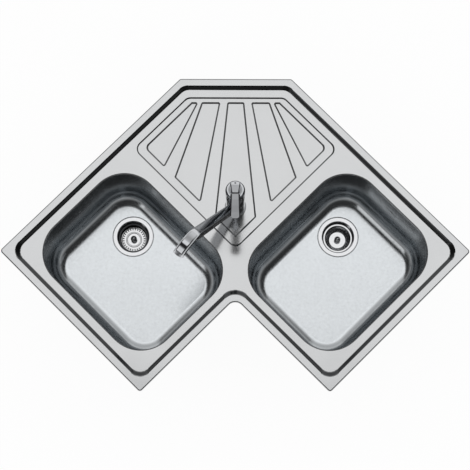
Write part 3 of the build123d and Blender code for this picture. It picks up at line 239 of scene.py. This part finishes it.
def pressed_cup():
    """Stainless steel, deep pressed: buffed on the flange, and dull with painted shade down in the well."""
    material, tree, place = new_material("stainless steel, pressed cup")
    # Scratches run down the well. They are drawn far coarser than real ones, so that they show.
    scratch_gap, scratch_length = 3 * MM, 30 * MM
    down = add_node(
        tree,
        "ShaderNodeMapping",
        {"Vector": place, "Scale": (1 / scratch_gap, 1 / scratch_gap, 1 / scratch_length)},
    )
    scratches = add_node(
        tree, "ShaderNodeTexNoise", {"Vector": down.outputs[0], "Scale": 1.0, "Detail": 3.0}
    )
    height = add_node(tree, "ShaderNodeSeparateXYZ", {"Vector": place})
    # The flange lies in the bowl's floor, about 180 mm under the deck. The buffing fades below it, and
    # painted shade darkens the well.
    buffed_unshaded_above, dull_shaded_below = -184 * MM, -192 * MM
    # This mask is 1 on the buffed flange and 0 in the well. It sets both the roughness and the painted
    # shade.
    buffed = add_node(
        tree,
        "ShaderNodeMapRange",
        {
            "Value": height.outputs["Z"],
            "From Min": dull_shaded_below,
            "From Max": buffed_unshaded_above,
            "To Min": 0.0,
            "To Max": 1.0,
        },
    )
    # The well's dark colours are painted shade. The scratches vary them.
    well = add_node(
        tree,
        "ShaderNodeMix",
        {0: scratches.outputs[0], 6: colour("#3c3d3f"), 7: colour("#56585a")},
        data_type="RGBA",
    )
    tint = add_node(
        tree,
        "ShaderNodeMix",
        {0: buffed.outputs[0], 6: well.outputs[2], 7: colour("#e0e1e3")},
        data_type="RGBA",
    )
    polish = add_node(
        tree, "ShaderNodeMapRange", {"Value": buffed.outputs[0], "To Min": 0.3, "To Max": 0.13}
    )
    shader = add_node(
        tree,
        "ShaderNodeBsdfPrincipled",
        {"Base Color": tint.outputs[2], "Metallic": 1.0, "Roughness": polish.outputs[0]},
    )
    add_node(tree, "ShaderNodeOutputMaterial", {"Surface": shader.outputs[0]})
    return material


def zinc_plate():
    """Mild steel, zinc plated: a dull bluish grey with small crystals."""
    material, tree, place = new_material("mild steel, zinc plated")
    # Plated crystals are about 1 mm across.
    crystal = 1.2 * MM
    crystals = add_node(tree, "ShaderNodeTexVoronoi", {"Vector": place, "Scale": 1 / crystal})
    tint = add_node(
        tree,
        "ShaderNodeMix",
        {0: crystals.outputs["Color"], 6: colour("#a9b0b8"), 7: colour("#c3c9cf")},
        data_type="RGBA",
    )
    polish = add_node(
        tree,
        "ShaderNodeMapRange",
        {"Value": crystals.outputs["Distance"], "From Max": 0.8, "To Min": 0.3, "To Max": 0.45},
    )
    shader = add_node(
        tree,
        "ShaderNodeBsdfPrincipled",
        {"Base Color": tint.outputs[2], "Metallic": 1.0, "Roughness": polish.outputs[0]},
    )
    add_node(tree, "ShaderNodeOutputMaterial", {"Surface": shader.outputs[0]})
    return material


def chrome_plate():
    """Brass, polished and chrome plated: a clear mirror with a trace of haze where hands wipe it."""
    material, tree, place = new_material("brass, polished and chrome plated")
    # Wiping leaves haze in patches of about this size.
    patch = 15 * MM
    haze = add_node(
        tree, "ShaderNodeTexNoise", {"Vector": place, "Scale": 1 / patch, "Detail": 4.0, "Roughness": 0.6}
    )
    polish = add_node(
        tree,
        "ShaderNodeMapRange",
        {"Value": haze.outputs[0], "From Min": 0.35, "From Max": 0.75, "To Min": 0.03, "To Max": 0.07},
    )
    tint = add_node(
        tree,
        "ShaderNodeMix",
        {0: haze.outputs[0], 6: colour("#c3c5c8"), 7: colour("#c9cbce")},
        data_type="RGBA",
    )
    shader = add_node(
        tree,
        "ShaderNodeBsdfPrincipled",
        {"Base Color": tint.outputs[2], "Metallic": 1.0, "Roughness": polish.outputs[0]},
    )
    add_node(tree, "ShaderNodeOutputMaterial", {"Surface": shader.outputs[0]})
    return material


def raw_brass():
    """Brass, forged and turned: yellow, with tool marks."""
    material, tree, place = new_material("brass, forged and turned")
    # A turning tool leaves lines about 0.15 mm apart round the axis. They are drawn coarser.
    line_length, line_gap = 30 * MM, 0.8 * MM
    layers = add_node(
        tree,
        "ShaderNodeMapping",
        {"Vector": place, "Scale": (1 / line_length, 1 / line_length, 1 / line_gap)},
    )
    lines = add_node(tree, "ShaderNodeTexNoise", {"Vector": layers.outputs[0], "Scale": 1.0, "Detail": 2.0})
    tint = add_node(
        tree,
        "ShaderNodeMix",
        {0: lines.outputs[0], 6: colour("#b8974f"), 7: colour("#d3b66c")},
        data_type="RGBA",
    )
    polish = add_node(
        tree,
        "ShaderNodeMapRange",
        {"Value": lines.outputs[0], "From Min": 0.3, "From Max": 0.7, "To Min": 0.25, "To Max": 0.4},
    )
    shader = add_node(
        tree,
        "ShaderNodeBsdfPrincipled",
        {"Base Color": tint.outputs[2], "Metallic": 1.0, "Roughness": polish.outputs[0]},
    )
    add_node(tree, "ShaderNodeOutputMaterial", {"Surface": shader.outputs[0]})
    return material


# ---------------------------------------------------------------- rubber, foam, plastic and ceramic


def speckled(name, dark, light, speck, low, high, depth):
    """A moulded, cut or sintered surface with specks in two near colours.

    speck is their size and depth that of the skin, in millimetres. low and high are the roughness.
    """
    material, tree, place = new_material(name)
    specks = add_node(
        tree,
        "ShaderNodeTexNoise",
        {"Vector": place, "Scale": 1 / (speck * MM), "Detail": 4.0, "Roughness": 0.6},
    )
    tint = add_node(
        tree, "ShaderNodeMix", {0: specks.outputs[0], 6: colour(dark), 7: colour(light)}, data_type="RGBA"
    )
    polish = add_node(
        tree,
        "ShaderNodeMapRange",
        {"Value": specks.outputs[0], "From Min": 0.3, "From Max": 0.7, "To Min": low, "To Max": high},
    )
    skin = add_node(
        tree, "ShaderNodeBump", {"Height": specks.outputs[0], "Strength": 0.4, "Distance": depth * MM}
    )
    shader = add_node(
        tree,
        "ShaderNodeBsdfPrincipled",
        {
            "Base Color": tint.outputs[2],
            "Roughness": polish.outputs[0],
            "Normal": skin.outputs[0],
            "IOR": 1.5,
        },
    )
    add_node(tree, "ShaderNodeOutputMaterial", {"Surface": shader.outputs[0]})
    return material


FINISHES = {
    "sheet": satin_sheet(),
    "bowl_sheet": drawn_bowl(),
    "polished_steel": turned_steel(),
    "zinc_steel": zinc_plate(),
    "chrome": chrome_plate(),
    "brass": raw_brass(),
    # EPDM rubber, moulded: black and dull, with a fine bloom.
    "seal_rubber": speckled("EPDM rubber, moulded", "#191a1b", "#26282a", 0.8, 0.55, 0.75, 0.05),
    # Closed-cell polyethylene foam, cut to a strip: grey, with cells of about 1 mm.
    "foam": speckled("polyethylene foam, cut strip", "#4a4c4f", "#63666a", 1.0, 0.8, 0.95, 0.3),
    # Bitumen, rolled and glued on: dark and grainy.
    "bitumen": speckled("bitumen sound pad, rolled", "#2a2826", "#3b3835", 2.0, 0.7, 0.9, 0.4),
    # Polypropylene, injection moulded: off-white, with a satin skin.
    "waste_plastic": speckled(
        "polypropylene, injection moulded", "#d6d7d5", "#e2e3e1", 3.0, 0.38, 0.5, 0.05
    ),
    # Polyethylene hose, blown: light grey and waxy.
    "hose_plastic": speckled("polyethylene hose, blown", "#b9bcbd", "#c8cbcc", 4.0, 0.42, 0.55, 0.05),
    # ABS, injection moulded: near black, with a spark-eroded grain.
    "tap_plastic": speckled("ABS, injection moulded", "#1c1d1f", "#2a2b2d", 0.6, 0.4, 0.55, 0.03),
    # Alumina, sintered and lapped: white and smooth.
    "ceramic": speckled("alumina, sintered and lapped", "#ecebe6", "#f5f4f0", 0.5, 0.15, 0.25, 0.005),
}

for node in frame["nodes"].values():
    for slot in node.material_slots:
        slot.material = FINISHES[slot.material.name.split(".")[0]]

cup_steel = pressed_cup()
for side_name in ("left", "right"):
    for slot in frame["nodes"][side_name + "_waste_cup"].material_slots:
        slot.material = cup_steel


# ---------------------------------------------------------------- floor

FLOOR_LEVEL = cad_low.z - 2 * MM
FLOOR_HALF = 30.0
# How much of the floor that the camera and the steel see is an even white. The rest takes the shadow.
FLOOR_WHITENESS = 0.93


def white_floor():
    """White paint on a plain floor: near white to the camera and in the steel, with a faint shadow."""
    material, tree, place = new_material("white matt paint, rolled")
    # The roller leaves a stipple of about this size.
    stipple_size = 6 * MM
    stipple = add_node(
        tree, "ShaderNodeTexNoise", {"Vector": place, "Scale": 1 / stipple_size, "Detail": 2.0}
    )
    tint = add_node(
        tree,
        "ShaderNodeMix",
        {0: stipple.outputs[0], 6: colour("#f4f4f4"), 7: colour("#f8f8f8")},
        data_type="RGBA",
    )
    paint = add_node(tree, "ShaderNodeBsdfDiffuse", {"Color": tint.outputs[2]})
    rays = add_node(tree, "ShaderNodeLightPath")
    seen = add_node(
        tree,
        "ShaderNodeMath",
        {0: rays.outputs["Is Camera Ray"], 1: rays.outputs["Is Glossy Ray"]},
        operation="MAXIMUM",
    )
    seen = add_node(
        tree,
        "ShaderNodeMath",
        {0: seen.outputs[0], 1: rays.outputs["Is Transmission Ray"]},
        operation="MAXIMUM",
    )
    share = add_node(tree, "ShaderNodeMath", {0: seen.outputs[0], 1: FLOOR_WHITENESS}, operation="MULTIPLY")
    white = add_node(tree, "ShaderNodeEmission", {"Color": (1, 1, 1, 1), "Strength": 1.0})
    both = add_node(
        tree, "ShaderNodeMixShader", {0: share.outputs[0], 1: paint.outputs[0], 2: white.outputs[0]}
    )
    add_node(tree, "ShaderNodeOutputMaterial", {"Surface": both.outputs[0]})
    return material


floor_mesh = bpy.data.meshes.new("floor")
floor_mesh.from_pydata(
    [
        (-FLOOR_HALF, -FLOOR_HALF, FLOOR_LEVEL),
        (FLOOR_HALF, -FLOOR_HALF, FLOOR_LEVEL),
        (FLOOR_HALF, FLOOR_HALF, FLOOR_LEVEL),
        (-FLOOR_HALF, FLOOR_HALF, FLOOR_LEVEL),
    ],
    [],
    [(0, 1, 2, 3)],
)
floor_mesh.materials.append(white_floor())
floor = bpy.data.objects.new("floor", floor_mesh)
bpy.context.scene.collection.objects.link(floor)


# ---------------------------------------------------------------- studio
# The studio is what the steel mirrors: a bright ceiling panel that dims and widens down the wall at the
# back, a strip light at the front left, walls that are pale near the ground, and black between these.
# All of it is in the world, and there are no lamps. Each place is a direction seen from the sink.

# How far back the direction points, and how bright the panel is there.
PANEL_LEVELS = (
    (0.05, 0.0),
    (0.12, 1.0),
    (0.31, 1.0),
    (0.38, 0.62),
    (0.50, 0.45),
    (0.65, 0.4),
    (0.86, 0.3),
    (0.92, 0.02),
    (0.95, 0.0),
)
PANEL_WIDENING = 0.5
# How high the direction points, and how bright the walls are there: nearly black from 45 degrees up.
WALL_LEVELS = ((0.0, 0.6), (0.26, 0.52), (0.42, 0.42), (0.60, 0.22), (0.70, 0.07), (0.78, 0.03))
# The strip lies in the plane of these two directions. It is bright round its end and stops just past it,
# dims on the way up, and is out near the overhead direction.
OVERHEAD = Vector((0.0, 0.28, 0.96)).normalized()
STRIP_END = Vector((-0.562, -0.44, 0.70)).normalized()
LIGHT_STRENGTH = 1.06
MATT_STRENGTH = 1.0


def ceiling_panel(room, direction):
    """The panel's brightness: its levels towards the back, inside a width that grows towards the back."""
    panel = add_node(room, "ShaderNodeValToRGB", {"Fac": direction.outputs["Y"]})
    set_levels(panel, PANEL_LEVELS)
    side = add_node(room, "ShaderNodeMath", {0: direction.outputs["X"]}, operation="ABSOLUTE")
    reach = add_node(
        room,
        "ShaderNodeMath",
        {0: direction.outputs["Y"], 1: -PANEL_WIDENING, 2: side.outputs[0]},
        operation="MULTIPLY_ADD",
    )
    width = add_node(
        room,
        "ShaderNodeMapRange",
        {"Value": reach.outputs[0], "From Min": 0.10, "From Max": 0.17, "To Min": 1.0, "To Max": 0.0},
        interpolation_type="SMOOTHSTEP",
    )
    return add_node(
        room, "ShaderNodeMath", {0: panel.outputs["Color"], 1: width.outputs[0]}, operation="MULTIPLY"
    )


def strip_light(room, look):
    """The strip's brightness: a soft-edged line, dimmed towards its head and cut off at both ends."""
    across = OVERHEAD.cross(STRIP_END).normalized()
    off_line = add_node(room, "ShaderNodeVectorMath", {0: look, 1: across}, operation="DOT_PRODUCT")
    off_line = add_node(room, "ShaderNodeMath", {0: off_line.outputs["Value"]}, operation="ABSOLUTE")
    strip = add_node(
        room,
        "ShaderNodeMapRange",
        {"Value": off_line.outputs[0], "From Min": 0.05, "From Max": 0.09, "To Min": 0.9, "To Max": 0.0},
        interpolation_type="SMOOTHSTEP",
    )
    down = add_node(room, "ShaderNodeVectorMath", {0: look, 1: OVERHEAD}, operation="DOT_PRODUCT")
    end = add_node(
        room,
        "ShaderNodeMapRange",
        {"Value": down.outputs["Value"], "From Min": 0.47, "From Max": 0.53, "To Min": 0.0, "To Max": 1.0},
        interpolation_type="SMOOTHSTEP",
    )
    head = add_node(
        room,
        "ShaderNodeMapRange",
        {"Value": down.outputs["Value"], "From Min": 0.74, "From Max": 0.90, "To Min": 1.0, "To Max": 0.0},
        interpolation_type="SMOOTHSTEP",
    )
    up = add_node(room, "ShaderNodeVectorMath", {0: look, 1: STRIP_END}, operation="DOT_PRODUCT")
    dimming = add_node(
        room,
        "ShaderNodeMapRange",
        {"Value": up.outputs["Value"], "From Min": 0.84, "From Max": 0.95, "To Min": 0.22, "To Max": 1.0},
        interpolation_type="SMOOTHSTEP",
    )
    for part in (end, dimming, head):
        strip = add_node(
            room, "ShaderNodeMath", {0: strip.outputs[0], 1: part.outputs[0]}, operation="MULTIPLY"
        )
    return strip


world = bpy.data.worlds.new("studio")
bpy.context.scene.world = world
world.use_nodes = True
room = world.node_tree
room.nodes.clear()
look = add_node(room, "ShaderNodeTexCoord").outputs["Generated"]
direction = add_node(room, "ShaderNodeSeparateXYZ", {"Vector": look})
panel = ceiling_panel(room, direction)
strip = strip_light(room, look)
bright = add_node(room, "ShaderNodeMath", {0: panel.outputs[0], 1: strip.outputs[0]}, operation="MAXIMUM")
walls = add_node(room, "ShaderNodeValToRGB", {"Fac": direction.outputs["Z"]})
set_levels(walls, WALL_LEVELS)
glow = add_node(
    room,
    "ShaderNodeMath",
    {0: bright.outputs[0], 1: LIGHT_STRENGTH, 2: walls.outputs["Color"]},
    operation="MULTIPLY_ADD",
)
# Matt surfaces are lit evenly from all sides, at the level at which a colour shows as it is written.
rays = add_node(room, "ShaderNodeLightPath")
level = add_node(
    room,
    "ShaderNodeMix",
    {0: rays.outputs["Is Diffuse Ray"], 2: glow.outputs[0], 3: MATT_STRENGTH},
    data_type="FLOAT",
)
sky = add_node(room, "ShaderNodeBackground", {"Color": (1, 1, 1, 1), "Strength": level.outputs[0]})
add_node(room, "ShaderNodeOutputWorld", {"Surface": sky.outputs[0]})


# ---------------------------------------------------------------- camera
# The camera stands in front and high above. Its place, tilt and lens were worked out from the sink's
# outline in the photograph, 470 pixels wide, with the lens axis 20 pixels right of the middle.
PICTURE_WIDTH = 470
AXIS_OFFSET = 20
SENSOR_WIDTH = 36
LENS_LENGTH = 144.4
NEAREST, FARTHEST = 0.05, 100
CAMERA_PLACE = (0.0154, -1.3505, 4.6112)
# The turn from looking straight down. Its direction is the axis, with Y and Z reversed, and its length
# is the angle in radians.
CAMERA_TURN = Vector((-0.2045, -0.0073, 0.0013))

camera_data = bpy.data.cameras.new("camera")
camera_data.sensor_width = SENSOR_WIDTH
camera_data.lens = LENS_LENGTH
camera_data.shift_x = -AXIS_OFFSET / PICTURE_WIDTH
camera_data.clip_start, camera_data.clip_end = NEAREST, FARTHEST
camera = bpy.data.objects.new("camera", camera_data)
bpy.context.scene.collection.objects.link(camera)
reverse = Matrix(((1, 0, 0), (0, -1, 0), (0, 0, -1)))
turn = Matrix.Rotation(CAMERA_TURN.length, 3, CAMERA_TURN.normalized())
camera.matrix_world = Matrix.Translation(CAMERA_PLACE) @ (reverse @ turn @ reverse).transposed().to_4x4()
bpy.context.scene.camera = camera

bpy.context.scene.view_settings.view_transform = "Standard"

bpy.context.view_layer.update()
